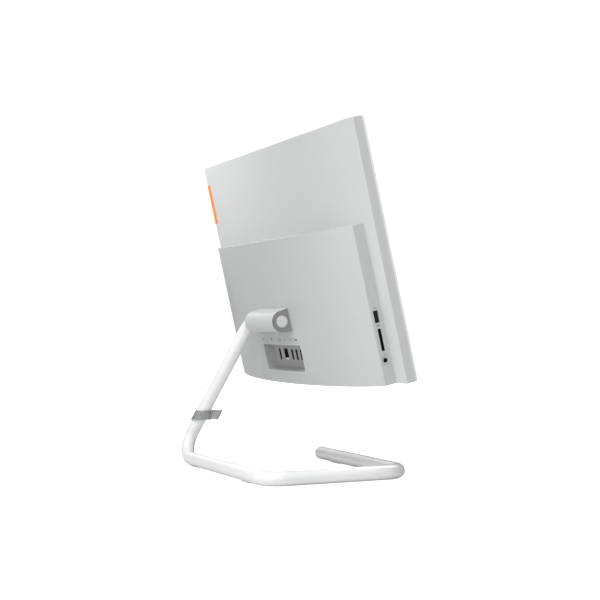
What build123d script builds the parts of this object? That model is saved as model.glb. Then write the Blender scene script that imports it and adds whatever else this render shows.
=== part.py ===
from build123d import *
from math import atan2, cos, degrees, radians, sin
import os

# All in one PC on a bent-tube stand.
# Millimetres. +X is the user's right, the screen faces -Y, +Z is up, floor at Z = 0.

os.makedirs("parts", exist_ok=True)

# ---------------------------------------------------------------- dimensions

# Screen slab
screen_width = 489.6
screen_height = 309.0
slab_depth = 14.7
slab_corner = 2.5
edge_round = 0.9
wall = 2.0
rest_tilt = 13.0

# Front frame and panel
bezel_depth = 2.7
lip = 1.8
side_border = 6.5
chin = 30.0
top_border = 10.5
glass_thickness = 1.0
tray_thickness = 6.6
panel_overlap = 2.9

# Bowed rear cover
cover_width = 437.0
cover_height = 188.5
cover_edge_depth = 14.5
cover_depth = 40.4
bow_half = 150.0
bow_drop = 10.3
cover_wall = 2.2
cover_edge_round = 2.2

# Hinge: the stand tube is its own axle and runs along X
hinge_y = 29.75
hinge_z = 194.3
pivot_v = 85.0
pivot_w = 50.5
barrel_length = 92.6
barrel_radius = 13.8
barrel_wall = 1.6
barrel_foot = 30.8
cap_radius = 7.8
cap_thickness = 1.8
barrel_foot_v = 84.7
bush_radius = 10.2
bush_length = 10.0
ear_radius = 12.0
ear_x = 30.0
ear_thickness = 3.0

# Stand tube
tube_radius = 8.8
tube_wall = 1.6
tube_bend = 26.0
running_gap = 0.05
foot_pad = 0.6
tube_z = tube_radius + foot_pad
tube_start_x = -44.4
neck_top_x = 62.0
rear_right = (148.0, 98.45, tube_z)
rear_left = (-137.0, 88.45, tube_z)
front_left = (-137.0, -97.55, tube_z)
front_right = (98.0, -93.55, tube_z)

# Port recess in the cover, seen from behind (x to the right, v up the panel)
recess_width = 122.0
recess_bottom = 15.5
recess_top = 52.6
recess_corner = 4.0
recess_wall = 1.6
recess_floor = 26.0

# Sockets in the recess (x seen from behind, v up the panel)
socket_v = 35.0
hdmi_x = -39.4
network_x = -19.0
usb_x = (0.8, 14.6, 28.4)
power_in_x = 46.0

# Sockets in the cover's side wall
side_w = 7.2
side_usb_v = 80.3
card_v = 53.0
jack_v = 29.0
jack_bore = 1.8

# Cable clip
clip_height = 13.0
clip_wall = 1.6
clip_distance = 149.0
hook_radius = 5.6
hook_opening = 7.0

# Soft tab on the +X edge of the slab
tab_v = 253.8
tab_length = 58.0
tab_reach = 10.0
tab_thickness = 1.0

# Power button under the chin
button_x = 200.0
button_w = -6.0
button_length = 14.0
button_width = 4.6
button_travel = 0.8
button_gap = 0.4

# Camera and microphones in the top border
camera_drop = 5.0
camera_radius = 1.8
microphone_x = 14.0
microphone_radius = 0.6

# Air and speaker slots in the cover
air_slot = 3.0
air_slot_length = 9.0
speaker_slot = 1.6
speaker_slot_length = 8.0
speaker_x = 143.0

# Rubber feet
foot_length = 24.0
foot_width = 7.0

# Standard socket outlines
usb_shell = (5.8, 13.8)
usb_mouth = (4.8, 12.6)
hdmi_shell = (6.0, 15.2)
hdmi_mouth = (4.6, 14.0)
network_body = (13.4, 16.0)
card_nose = (3.6, 25.8)
card_mouth = (2.4, 24.6)
window_gap = 0.6

# Cable window between the panel and the electronics
cable_window_v = 132.0
cable_window = (60.0, 14.0)

# ---------------------------------------------------------------- frames

tilt = radians(rest_tilt)
base_y = hinge_y - pivot_v * sin(tilt) - pivot_w * cos(tilt)
base_z = hinge_z - pivot_v * cos(tilt) + pivot_w * sin(tilt)
base = (0, base_y, base_z)
up_panel = (0, sin(tilt), cos(tilt))
off_panel = (0, cos(tilt), -sin(tilt))

# rear: x to the right seen from behind, y up the panel, z out of the back
rear = Plane(origin=base, x_dir=(-1, 0, 0), z_dir=off_panel)
# across: x along +X, y out of the back, z up the panel
across = Plane(origin=base, x_dir=(1, 0, 0), z_dir=up_panel)
# side: x out of the back, y up the panel, z along +X
side = Plane(origin=base, x_dir=off_panel, z_dir=(1, 0, 0))

outward = Axis(base, off_panel)

half_width = screen_width / 2
window_height = screen_height - chin - top_border
camera_v = screen_height - camera_drop
tab_side = tab_reach + tab_thickness
half_cover = cover_width / 2
mid_v = screen_height / 2
seated = (Align.CENTER, Align.CENTER, Align.MIN)


def finish(part, name):
    part.part.label = name
    export_step(part.part, "parts/" + name + ".step")
    print(name, round(part.part.volume, 1))


# ---------------------------------------------------------------- screen slab

with BuildPart() as rear_shell:
    with BuildSketch(rear) as shell_outline:
        with Locations((0, mid_v)):
            RectangleRounded(screen_width, screen_height, slab_corner)
    extrude(amount=-(slab_depth - bezel_depth))
    back_edges = rear_shell.faces().sort_by(outward)[-1].edges()
    fillet(back_edges, radius=edge_round)
    with BuildSketch(rear.offset(-wall)):
        with Locations((0, mid_v)):
            RectangleRounded(screen_width - 2 * wall, screen_height - 2 * wall, 1)
    extrude(amount=-slab_depth, mode=Mode.SUBTRACT)
    # cable window between the panel and the electronics
    with BuildSketch(rear.offset(-wall)):
        with Locations((0, cable_window_v)):
            RectangleRounded(*cable_window, 3)
    extrude(amount=wall, mode=Mode.SUBTRACT)
    # pocket for the edge tab on the +X edge
    with BuildSketch(rear):
        with Locations((-half_width, tab_v)):
            Rectangle(2 * tab_reach, tab_length)
    extrude(amount=-tab_thickness, mode=Mode.SUBTRACT)
    with BuildSketch(side.offset(half_width)):
        with Locations((-tab_side / 2, tab_v)):
            Rectangle(tab_side, tab_length)
    extrude(amount=-tab_thickness, mode=Mode.SUBTRACT)
    # power button hole in the bottom edge
    with BuildSketch(across):
        with Locations((button_x, button_w)):
            RectangleRounded(button_length + 2 * button_gap, button_width + 2 * button_gap, 2.6)
    extrude(amount=wall, mode=Mode.SUBTRACT)
finish(rear_shell, "rear_shell")

with BuildPart() as front_bezel:
    with BuildSketch(rear.offset(-slab_depth)):
        with Locations((0, mid_v)):
            RectangleRounded(screen_width, screen_height, slab_corner)
    extrude(amount=bezel_depth)
    front_edges = front_bezel.faces().sort_by(outward)[0].edges()
    fillet(front_edges, radius=edge_round)
    with BuildSketch(rear.offset(-slab_depth)):
        with Locations((0, chin + window_height / 2)):
            Rectangle(screen_width - 2 * side_border, window_height)
    extrude(amount=bezel_depth, mode=Mode.SUBTRACT)
    with BuildSketch(rear.offset(-slab_depth + lip)):
        with Locations((0, mid_v)):
            Rectangle(screen_width - 2 * wall, screen_height - 2 * wall)
    extrude(amount=slab_depth, mode=Mode.SUBTRACT)
    # camera window and microphone holes in the top border
    with BuildSketch(rear.offset(-slab_depth)):
        with Locations((0, camera_v)):
            Circle(camera_radius)
        with Locations((-microphone_x, camera_v), (microphone_x, camera_v)):
            Circle(microphone_radius)
    extrude(amount=lip, mode=Mode.SUBTRACT)
finish(front_bezel, "front_bezel")

panel_width = screen_width - 2 * side_border + 2 * panel_overlap
panel_height = window_height + 2 * panel_overlap
panel_v = chin + window_height / 2
glass_w = -slab_depth + lip

with BuildPart(rear) as screen_glass:
    with Locations((0, panel_v, glass_w)):
        Box(panel_width, panel_height, glass_thickness, align=seated)
finish(screen_glass, "screen_glass")

with BuildPart(rear) as backlight_tray:
    with Locations((0, panel_v, glass_w + glass_thickness)):
        Box(panel_width, panel_height, tray_thickness, align=seated)
    # pressed stiffening channels in the back of the tray
    with Locations((0, panel_v - 60, glass_w + glass_thickness + tray_thickness - 1)):
        Box(panel_width - 60, 8, 1, align=seated, mode=Mode.SUBTRACT)
    with Locations((0, panel_v + 60, glass_w + glass_thickness + tray_thickness - 1)):
        Box(panel_width - 60, 8, 1, align=seated, mode=Mode.SUBTRACT)
finish(backlight_tray, "backlight_tray")

with BuildPart(rear) as camera_board:
    with Locations((0, camera_v + 0.1, glass_w + 1.6)):
        Box(40, 4.6, 1, align=seated)
    with Locations((0, camera_v + 0.1, glass_w + 2.6)):
        Box(12, 4, 1.4, align=seated)
finish(camera_board, "camera_board")

with BuildPart(rear) as camera_lens:
    with Locations((0, camera_v, -slab_depth + 0.3)):
        Cylinder(camera_radius - 0.05, 3.1, align=seated)
finish(camera_lens, "camera_lens")

with BuildPart(rear) as edge_tab:
    with Locations((-half_width, tab_v, -tab_thickness)):
        Box(tab_reach, tab_length, tab_thickness + 0.2, align=(Align.MIN, Align.CENTER, Align.MIN))
    with Locations((-half_width, tab_v, -tab_side)):
        Box(tab_thickness, tab_length, tab_side, align=(Align.MIN, Align.CENTER, Align.MIN))
finish(edge_tab, "edge_tab")

# ---------------------------------------------------------------- power button

with BuildPart(across) as power_button:
    with BuildSketch(across.offset(-button_travel)):
        with Locations((button_x, button_w)):
            RectangleRounded(button_length, button_width, 2.2)
    extrude(amount=button_travel + wall + 0.3)
    with BuildSketch(across.offset(wall + 0.3)):
        with Locations((button_x, button_w)):
            RectangleRounded(button_length + 3, button_width + 2.8, 2)
    extrude(amount=1.2)
finish(power_button, "power_button")

with BuildPart(across) as power_board:
    with Locations((button_x, button_w, 6.6)):
        Box(26, 7.6, 1.2, align=seated)
    with Locations((button_x, button_w, 5.0)):
        Cylinder(1.8, 1.6, align=seated)
    with Locations((button_x, button_w + 3, 7.8)):
        Box(20, 1.6, 9, align=seated)
finish(power_board, "power_board")

# ---------------------------------------------------------------- rear cover


def bow_profile(plane, thickness):
    # cross-section of the cover, drawn in by a thickness: square sides and a bowed back
    edge = half_cover - thickness
    shoulder = cover_depth - bow_drop - thickness
    crown = cover_depth - thickness
    edge_depth = cover_edge_depth - thickness
    bow_radius = (bow_half ** 2 + bow_drop ** 2) / (2 * bow_drop)
    slope = bow_half / bow_radius
    run = (1 - slope ** 2) ** 0.5
    with BuildSketch(plane) as profile:
        with BuildLine():
            Polyline((-edge, edge_depth), (-edge, 0), (edge, 0), (edge, edge_depth))
            TangentArc((bow_half, shoulder), (edge, edge_depth), tangent=(run, -slope))
            ThreePointArc((-bow_half, shoulder), (0, crown), (bow_half, shoulder))
            TangentArc((-bow_half, shoulder), (-edge, edge_depth), tangent=(-run, -slope))
        make_face()
        corners = profile.vertices().filter_by(lambda v: v.Y > 5 and abs(v.X) > edge - 1)
        fillet(corners, radius=cover_edge_round)
    return profile.sketch


recess_v = (recess_bottom + recess_top) / 2
recess_height = recess_top - recess_bottom
pocket_width = recess_width - 2 * recess_wall
pocket_height = recess_height - 2 * recess_wall

with BuildPart() as back_cover:
    extrude(bow_profile(across, 0), amount=cover_height)
    hollow = bow_profile(across.offset(cover_wall), cover_wall)
    extrude(hollow, amount=cover_height - 2 * cover_wall, mode=Mode.SUBTRACT)
    # opening for the port recess
    with BuildSketch(rear.offset(10)):
        with Locations((0, recess_v)):
            RectangleRounded(recess_width, recess_height, recess_corner)
    extrude(amount=40, mode=Mode.SUBTRACT)
    # opening for the hinge barrel
    with BuildSketch(rear.offset(10)):
        with Locations((0, barrel_foot_v)):
            Rectangle(barrel_length, barrel_foot)
    extrude(amount=40, mode=Mode.SUBTRACT)
    # side sockets: USB, card slot and headset jack
    with BuildSketch(side.offset(-half_cover)):
        with Locations((side_w, side_usb_v)):
            RectangleRounded(usb_shell[0] + window_gap, usb_shell[1] + window_gap, 0.6)
        with Locations((side_w, card_v)):
            RectangleRounded(card_nose[0] + window_gap, card_nose[1] + window_gap, 0.6)
        with Locations((side_w, jack_v)):
            Circle(2.9)
    extrude(amount=cover_wall, mode=Mode.SUBTRACT)
    # shallow U-shaped groove round the jack
    with BuildSketch(side.offset(-half_cover)):
        with Locations((side_w - 1.4, jack_v)):
            SlotOverall(12.8, 10.8, mode=Mode.ADD)
            SlotOverall(10.8, 8.8, mode=Mode.SUBTRACT)
        with Locations((side_w - 9.4, jack_v)):
            Rectangle(12, 14, mode=Mode.SUBTRACT)
    extrude(amount=1.0, mode=Mode.SUBTRACT)
    # air slots under and over the electronics
    with BuildSketch(across):
        with Locations((0, 9)):
            with GridLocations(7, 1, 22, 1):
                Rectangle(air_slot, air_slot_length)
    extrude(amount=cover_wall, mode=Mode.SUBTRACT)
    with BuildSketch(across.offset(cover_height - cover_wall)):
        with Locations((-125, 15)):
            with GridLocations(6, 1, 11, 1):
                Rectangle(air_slot, air_slot_length)
        with Locations((130, 11)):
            with GridLocations(6, 1, 15, 1):
                Rectangle(air_slot, air_slot_length - 1)
    extrude(amount=cover_wall, mode=Mode.SUBTRACT)
    # speaker slots in the underside
    with BuildSketch(across):
        with Locations((-speaker_x, 7.2), (speaker_x, 7.2)):
            with GridLocations(4, 1, 10, 1):
                Rectangle(speaker_slot, speaker_slot_length)
    extrude(amount=cover_wall, mode=Mode.SUBTRACT)
finish(back_cover, "back_cover")

with BuildPart() as port_recess:
    with BuildSketch(rear.offset(recess_floor - recess_wall)):
        with Locations((0, recess_v)):
            RectangleRounded(recess_width, recess_height, recess_corner)
    extrude(amount=20)
    with BuildSketch(rear.offset(recess_floor)):
        with Locations((0, recess_v)):
            RectangleRounded(pocket_width, pocket_height, recess_corner - recess_wall)
    extrude(amount=20, mode=Mode.SUBTRACT)
    # flush with the bowed back
    extrude(bow_profile(across, 0), amount=cover_height, mode=Mode.INTERSECT)
    # socket windows
    with BuildSketch(rear.offset(recess_floor - recess_wall)):
        with Locations((hdmi_x, socket_v)):
            RectangleRounded(hdmi_shell[0] + 0.4, hdmi_shell[1] + 0.4, 0.8)
        with Locations((network_x, socket_v)):
            Rectangle(network_body[0] + 0.4, network_body[1] + 0.4)
        with Locations(*[(x, socket_v) for x in usb_x]):
            RectangleRounded(usb_shell[0] + window_gap, usb_shell[1] + window_gap, 0.6)
        with Locations((power_in_x, socket_v)):
            Circle(4.6)
    extrude(amount=recess_wall, mode=Mode.SUBTRACT)
finish(port_recess, "port_recess")

# ---------------------------------------------------------------- hinge

with BuildPart() as hinge_barrel:
    with BuildSketch(side.offset(-barrel_length / 2)):
        with Locations((pivot_w, pivot_v)):
            Circle(barrel_radius)
        with Locations((36, barrel_foot_v)):
            Rectangle(6, barrel_foot)
        make_hull()
    extrude(amount=barrel_length)
    with BuildSketch(side.offset(-barrel_length / 2 + barrel_wall)):
        with Locations((pivot_w, pivot_v)):
            Circle(barrel_radius - barrel_wall)
        with Locations((36, barrel_foot_v)):
            Rectangle(6, barrel_foot - 2 * barrel_wall)
        make_hull()
    extrude(amount=barrel_length - 2 * barrel_wall, mode=Mode.SUBTRACT)
    # the tube passes through one end wall, and only its cap through the other
    with BuildSketch(side.offset(-barrel_length / 2 + barrel_wall)):
        with Locations((pivot_w, pivot_v)):
            Circle(tube_radius + 0.35)
    extrude(amount=barrel_length, mode=Mode.SUBTRACT)
    with BuildSketch(side.offset(-barrel_length / 2)):
        with Locations((pivot_w, pivot_v)):
            Circle(cap_radius + 0.3)
    extrude(amount=barrel_length, mode=Mode.SUBTRACT)
finish(hinge_barrel, "hinge_barrel")

bracket_base = 1.2
bracket_plate = 2.5
bracket_holes = [(-50, 70), (50, 70), (-50, 102), (50, 102)]

with BuildPart() as hinge_bracket:
    with BuildSketch(rear.offset(bracket_base)):
        with Locations((0, pivot_v + 1)):
            RectangleRounded(116, 46, 4)
        with Locations(*bracket_holes):
            Circle(2.0, mode=Mode.SUBTRACT)
    extrude(amount=bracket_plate)
    for ear_side in (-1, 1):
        with BuildSketch(side.offset(ear_side * ear_x - ear_thickness / 2)):
            with Locations((pivot_w, pivot_v)):
                Circle(ear_radius)
            with Locations((6, pivot_v)):
                Rectangle(6, 26)
            make_hull()
        extrude(amount=ear_thickness)
    with BuildSketch(side.offset(-40)):
        with Locations((pivot_w, pivot_v)):
            Circle(bush_radius)
    extrude(amount=80, mode=Mode.SUBTRACT)
finish(hinge_bracket, "hinge_bracket")

with BuildPart() as friction_bushes:
    for ear_side in (-1, 1):
        with BuildSketch(side.offset(ear_side * ear_x - bush_length / 2)):
            with Locations((pivot_w, pivot_v)):
                Circle(bush_radius)
                Circle(tube_radius + running_gap, mode=Mode.SUBTRACT)
        extrude(amount=bush_length)
finish(friction_bushes, "friction_bushes")

# ---------------------------------------------------------------- stand

start = (tube_start_x, hinge_y, hinge_z)
neck_top = (neck_top_x, hinge_y, hinge_z)

with BuildPart() as stand_tube:
    with BuildLine() as tube_path:
        FilletPolyline(start, neck_top, rear_right, rear_left, front_left, front_right, radius=tube_bend)
    with BuildSketch(Plane(origin=start, z_dir=(1, 0, 0))):
        Circle(tube_radius)
        Circle(tube_radius - tube_wall, mode=Mode.SUBTRACT)
    sweep(path=tube_path.wires()[0])
finish(stand_tube, "stand_tube")

with BuildPart() as hinge_cap:
    with BuildSketch(Plane(origin=start, z_dir=(-1, 0, 0))):
        Circle(cap_radius)
    extrude(amount=cap_thickness)
    fillet(hinge_cap.faces().sort_by(Axis.X)[0].edges(), radius=0.5)
    with BuildSketch(Plane(origin=start, z_dir=(1, 0, 0))):
        Circle(tube_radius - tube_wall)
        Circle(tube_radius - tube_wall - 2, mode=Mode.SUBTRACT)
    extrude(amount=8)
finish(hinge_cap, "hinge_cap")

front_run = Vector(*front_right) - Vector(*front_left)

with BuildPart() as tube_end_plug:
    with BuildSketch(Plane(origin=front_right, z_dir=front_run)):
        Circle(tube_radius)
    extrude(amount=7)
    fillet(tube_end_plug.faces().sort_by(Axis.X)[-1].edges(), radius=6.4)
    with BuildSketch(Plane(origin=front_right, z_dir=front_run)):
        Circle(tube_radius - tube_wall)
    extrude(amount=-12)
finish(tube_end_plug, "tube_end_plug")

with BuildPart() as axle_collars:
    for collar_x in (-22.4, 22.4):
        with BuildSketch(Plane(origin=(collar_x - 1.5, hinge_y, hinge_z), z_dir=(1, 0, 0))):
            Circle(11.2)
            Circle(tube_radius, mode=Mode.SUBTRACT)
        extrude(amount=3)
finish(axle_collars, "axle_collars")

rear_run = Vector(*rear_left) - Vector(*rear_right)
rear_turn = -rear_run.get_signed_angle(Vector(-1, 0, 0))
front_turn = -front_run.get_signed_angle(Vector(1, 0, 0))
pad_spots = []
for share in (0.2, 0.8):
    pad_spots.append((Vector(*rear_right) + rear_run * share, rear_turn, rear_run))
    pad_spots.append((Vector(*front_left) + front_run * share, front_turn, front_run))

with BuildPart() as rubber_feet:
    for spot, turn, run in pad_spots:
        with BuildSketch(Plane(origin=(spot.X, spot.Y, 0), x_dir=run, z_dir=(0, 0, 1))):
            SlotOverall(foot_length, foot_width)
        extrude(amount=2.6)
    for spot, turn, run in pad_spots:
        with BuildSketch(Plane(origin=spot - run.normalized() * 20, z_dir=run)):
            Circle(tube_radius)
        extrude(amount=40, mode=Mode.SUBTRACT)
finish(rubber_feet, "rubber_feet")

# ---------------------------------------------------------------- cable clip

neck = Vector(*rear_right) - Vector(*neck_top)
clip_centre = Vector(*neck_top) + neck.normalized() * clip_distance
clip_blank = 3 * clip_height
clip_bottom = clip_centre - neck.normalized() * clip_blank / 2
hook_way = Vector(-0.42, -0.91, 0)
clip_plane = Plane(origin=clip_bottom, x_dir=hook_way, z_dir=neck)
clip_inner = tube_radius + running_gap
clip_outer = clip_inner + clip_wall
hook_x = clip_outer + hook_radius
# the hook opens towards -X
gap_way = clip_plane.to_local_coords(clip_centre + Vector(-1, 0, 0)) - clip_plane.to_local_coords(clip_centre)
hook_gap_angle = degrees(atan2(gap_way.Y, gap_way.X))

with BuildPart() as cable_clip:
    with BuildSketch(clip_plane):
        Circle(clip_outer)
        with Locations((hook_x, 0)):
            Circle(hook_radius + clip_wall)
            Circle(hook_radius, mode=Mode.SUBTRACT)
            with PolarLocations(hook_radius, 1, hook_gap_angle):
                Rectangle(2 * hook_radius, hook_opening, mode=Mode.SUBTRACT)
        Circle(clip_inner, mode=Mode.SUBTRACT)
    extrude(amount=clip_blank)
    # the top and bottom of the clip are level, though the neck leans
    with Locations(clip_centre):
        Box(90, 90, clip_height, mode=Mode.INTERSECT)
finish(cable_clip, "cable_clip")

# ---------------------------------------------------------------- chassis

chassis_thickness = 1.2
mainboard_holes = [(-200, 31), (-74, 31), (-200, 118), (-74, 90), (-200, 177), (-74, 177)]
io_board_holes = [(-56, 18), (56, 18), (-56, 56), (56, 56)]
mainboard_w = 5.5
io_board_w = 10.0
board_thickness = 1.6
screw_radius = 1.25
screw_head_radius = 2.6
screw_head_height = 1.6

with BuildPart() as chassis_plate:
    with BuildSketch(rear):
        with Locations((0, 94)):
            RectangleRounded(2 * 208, 178, 4)
        with Locations((0, cable_window_v)):
            RectangleRounded(*cable_window, 3, mode=Mode.SUBTRACT)
        with Locations(*bracket_holes):
            Circle(2.0, mode=Mode.SUBTRACT)
    extrude(amount=chassis_thickness)
finish(chassis_plate, "chassis_plate")

with BuildPart() as standoffs:
    with BuildSketch(rear.offset(chassis_thickness)):
        with Locations(*mainboard_holes):
            Circle(2.6)
            Circle(screw_radius, mode=Mode.SUBTRACT)
    extrude(amount=mainboard_w - chassis_thickness)
    with BuildSketch(rear.offset(chassis_thickness)):
        with Locations(*io_board_holes):
            Circle(2.6)
            Circle(screw_radius, mode=Mode.SUBTRACT)
    extrude(amount=io_board_w - chassis_thickness)
finish(standoffs, "standoffs")

with BuildPart(rear) as board_screws:
    with Locations(*[(x, v, mainboard_w + board_thickness) for x, v in mainboard_holes]):
        Cylinder(screw_head_radius, screw_head_height, align=seated)
        Cylinder(screw_radius, board_thickness + 3.5, align=(Align.CENTER, Align.CENTER, Align.MAX))
    with Locations(*[(x, v, io_board_w + board_thickness) for x, v in io_board_holes]):
        Cylinder(screw_head_radius, screw_head_height, align=seated)
        Cylinder(screw_radius, board_thickness + 6, align=(Align.CENTER, Align.CENTER, Align.MAX))
    with Locations(*[(x, v, mainboard_w + board_thickness + screw_head_height) for x, v in mainboard_holes]):
        Cylinder(1.1, 0.9, align=(Align.CENTER, Align.CENTER, Align.MAX), mode=Mode.SUBTRACT)
    with Locations(*[(x, v, io_board_w + board_thickness + screw_head_height) for x, v in io_board_holes]):
        Cylinder(1.1, 0.9, align=(Align.CENTER, Align.CENTER, Align.MAX), mode=Mode.SUBTRACT)
finish(board_screws, "board_screws")

with BuildPart(rear) as bracket_screws:
    with Locations(*[(x, v, bracket_base + bracket_plate) for x, v in bracket_holes]):
        Cylinder(3.6, 2.2, align=seated)
        Cylinder(1.9, bracket_base + bracket_plate, align=(Align.CENTER, Align.CENTER, Align.MAX))
    with Locations(*[(x, v, bracket_base + bracket_plate + 2.2) for x, v in bracket_holes]):
        Cylinder(1.6, 1.4, align=(Align.CENTER, Align.CENTER, Align.MAX), mode=Mode.SUBTRACT)
finish(bracket_screws, "bracket_screws")

# ---------------------------------------------------------------- mainboard

board_top = mainboard_w + board_thickness
memory_x = (-186, -152)
processor_x = -105
processor_v = 125

with BuildPart() as mainboard:
    with BuildSketch(rear.offset(mainboard_w)):
        with Locations((-137, 104)):
            RectangleRounded(138, 156, 2)
        with Locations(*mainboard_holes):
            Circle(screw_radius, mode=Mode.SUBTRACT)
    extrude(amount=board_thickness)
    # power coils and chokes beside the processor
    with BuildSketch(rear.offset(board_top)):
        with Locations((-150, 150)):
            with GridLocations(10, 10, 2, 4):
                Rectangle(7, 7)
    extrude(amount=3.5)
finish(mainboard, "mainboard")

with BuildPart(rear) as processor:
    with Locations((processor_x, processor_v, board_top)):
        Box(37.5, 37.5, 1.2, align=seated)
    with Locations((processor_x, processor_v, board_top + 1.2)):
        Box(24, 20, 0.8, align=seated)
finish(processor, "processor")

plate_w = board_top + 2.0
plate_thickness = 3.0
pipe_radius = 3.0
pipe_w = plate_w + plate_thickness + pipe_radius
pipe_v = 176

with BuildPart(rear) as heat_spreader:
    with Locations((processor_x, processor_v, plate_w)):
        Box(54, 50, plate_thickness, align=seated)
finish(heat_spreader, "heat_spreader")

pipe_plane = rear.offset(pipe_w)
pipe_start = pipe_plane.from_local_coords((processor_x, 104, 0))
pipe_turn = pipe_plane.from_local_coords((processor_x, pipe_v, 0))
pipe_end = pipe_plane.from_local_coords((160, pipe_v, 0))

with BuildPart() as heat_pipe:
    with BuildLine() as pipe_path:
        FilletPolyline(pipe_start, pipe_turn, pipe_end, radius=20)
    with BuildSketch(Plane(origin=pipe_start, z_dir=up_panel)):
        Circle(pipe_radius)
    sweep(path=pipe_path.wires()[0])
finish(heat_pipe, "heat_pipe")

with BuildPart() as heat_fins:
    with BuildSketch(rear.offset(3)):
        with Locations((127, pipe_v)):
            with GridLocations(3.2, 1, 20, 1):
                Rectangle(0.6, 14)
    extrude(amount=17)
    with BuildSketch(side.offset(-200)):
        with Locations((pipe_w, pipe_v)):
            Circle(pipe_radius)
    extrude(amount=200, mode=Mode.SUBTRACT)
finish(heat_fins, "heat_fins")

with BuildPart(rear) as memory_sockets:
    with Locations(*[(x, 38.5, board_top) for x in memory_x]):
        Box(33, 5, 5, align=seated)
finish(memory_sockets, "memory_sockets")

with BuildPart(rear) as memory_modules:
    with Locations(*[(x, 74.5, board_top + 2) for x in memory_x]):
        Box(30, 67, 1.2, align=seated)
    for chip_x in memory_x:
        with Locations(*[(chip_x, 52 + 15 * step, board_top + 3.2) for step in range(4)]):
            Box(22, 11, 1, align=seated)
finish(memory_modules, "memory_modules")

with BuildPart(rear) as solid_state_drive:
    with Locations((-92, 38.5, board_top)):
        Box(22, 5, 3.6, align=seated)
    with Locations((-92, 66, board_top + 1.6)):
        Box(22, 60, 0.8, align=seated)
    with Locations((-92, 56, board_top + 2.4), (-92, 80, board_top + 2.4)):
        Box(14, 18, 1.2, align=seated)
    with Locations((-92, 94, board_top)):
        Cylinder(2.4, 3.2, align=seated)
finish(solid_state_drive, "solid_state_drive")

with BuildPart(rear) as radio_card:
    with Locations((-119, 38.5, board_top)):
        Box(22, 5, 3.6, align=seated)
    with Locations((-119, 52, board_top + 1.6)):
        Box(22, 30, 0.8, align=seated)
    with Locations((-119, 53, board_top + 2.4)):
        Box(17, 20, 1.4, align=seated)
finish(radio_card, "radio_card")

with BuildPart(rear) as coin_cell:
    with Locations((-119, 82, board_top)):
        Cylinder(10, 3.2, align=seated)
finish(coin_cell, "coin_cell")

# ---------------------------------------------------------------- fan

fan_x = 127
fan_v = 134
fan_base = 1.5
fan_depth = 14.8
fan_floor = chassis_thickness + fan_base
fan_cavity = 29.5
shaft_radius = 1.5

with BuildPart() as fan_housing:
    with BuildSketch(rear.offset(chassis_thickness)):
        with Locations((fan_x, fan_v)):
            RectangleRounded(70, 68, 5)
    extrude(amount=fan_depth)
    with BuildSketch(rear.offset(fan_floor)):
        with Locations((fan_x, fan_v)):
            Circle(fan_cavity)
        with Locations((fan_x, fan_v + 20)):
            Rectangle(2 * fan_cavity, 40)
    extrude(amount=fan_depth, mode=Mode.SUBTRACT)
    with BuildSketch(rear.offset(fan_floor)):
        with Locations((fan_x, fan_v)):
            Circle(4)
    extrude(amount=2.3)
    with BuildSketch(rear.offset(fan_floor - 0.5)):
        with Locations((fan_x, fan_v)):
            Circle(shaft_radius + 0.05)
    extrude(amount=4, mode=Mode.SUBTRACT)
finish(fan_housing, "fan_housing")

with BuildPart() as fan_lid:
    with BuildSketch(rear.offset(chassis_thickness + fan_depth)):
        with Locations((fan_x, fan_v)):
            RectangleRounded(70, 68, 5)
            Circle(20, mode=Mode.SUBTRACT)
    extrude(amount=1.0)
finish(fan_lid, "fan_lid")

with BuildPart(rear) as fan_rotor:
    with Locations((fan_x, fan_v, fan_floor - 0.2)):
        Cylinder(shaft_radius, 4, align=seated)
    with Locations((fan_x, fan_v, fan_floor + 2.7)):
        Cylinder(13, 9, align=seated)
        with PolarLocations(20, 15):
            with Locations(Rotation(0, 0, 20)):
                Box(17, 0.8, 9, align=seated)
finish(fan_rotor, "fan_rotor")

# ---------------------------------------------------------------- drive and speakers

with BuildPart(rear) as hard_drive:
    with Locations((130, 60, 2.2)):
        Box(100, 69.9, 7, align=seated)
    with Locations((112, 60, 9.2)):
        Cylinder(30, 1.2, align=seated)
    with Locations((158, 60, 9.2)):
        Box(34, 56, 1.2, align=seated)
finish(hard_drive, "hard_drive")

with BuildPart(rear) as drive_tray:
    with Locations((130, 60, chassis_thickness)):
        Box(104, 71.9, 1, align=seated)
    with Locations((130, 60 - 35.45, chassis_thickness), (130, 60 + 35.45, chassis_thickness)):
        Box(104, 1, 7, align=seated)
finish(drive_tray, "drive_tray")

with BuildPart(rear) as speakers:
    with Locations((-speaker_x, 13, chassis_thickness), (speaker_x, 13, chassis_thickness)):
        Box(66, 15, 12, align=seated)
    with Locations((-speaker_x, 5.5, 7.2), (speaker_x, 5.5, 7.2)):
        Box(40, 1, 9, mode=Mode.SUBTRACT)
finish(speakers, "speakers")

# ---------------------------------------------------------------- rear sockets

io_top = io_board_w + board_thickness
socket_mouth = recess_floor - 0.3
socket_depth = socket_mouth - io_top


def shell_socket(places, outer, inner, tongue, reach):
    # metal-shelled socket standing on the board, open towards the back
    with BuildPart() as socket:
        with BuildSketch(rear.offset(io_top)):
            with Locations(*places):
                RectangleRounded(*outer, 0.5)
        extrude(amount=socket_depth)
        with BuildSketch(rear.offset(socket_mouth)):
            with Locations(*places):
                Rectangle(*inner)
        extrude(amount=-reach, mode=Mode.SUBTRACT)
        with BuildSketch(rear.offset(socket_mouth - reach)):
            with Locations(*[(x + tongue[2], v) for x, v in places]):
                Rectangle(tongue[0], tongue[1])
        extrude(amount=reach - 1)
    return socket


hdmi_socket = shell_socket([(hdmi_x, socket_v)], hdmi_shell, hdmi_mouth, (1.4, 11, 0), 10)
finish(hdmi_socket, "hdmi_socket")

usb_places = [(x, socket_v) for x in usb_x]
rear_usb_sockets = shell_socket(usb_places, usb_shell, usb_mouth, (1.8, 11, -1.2), 11)
finish(rear_usb_sockets, "rear_usb_sockets")

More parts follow.
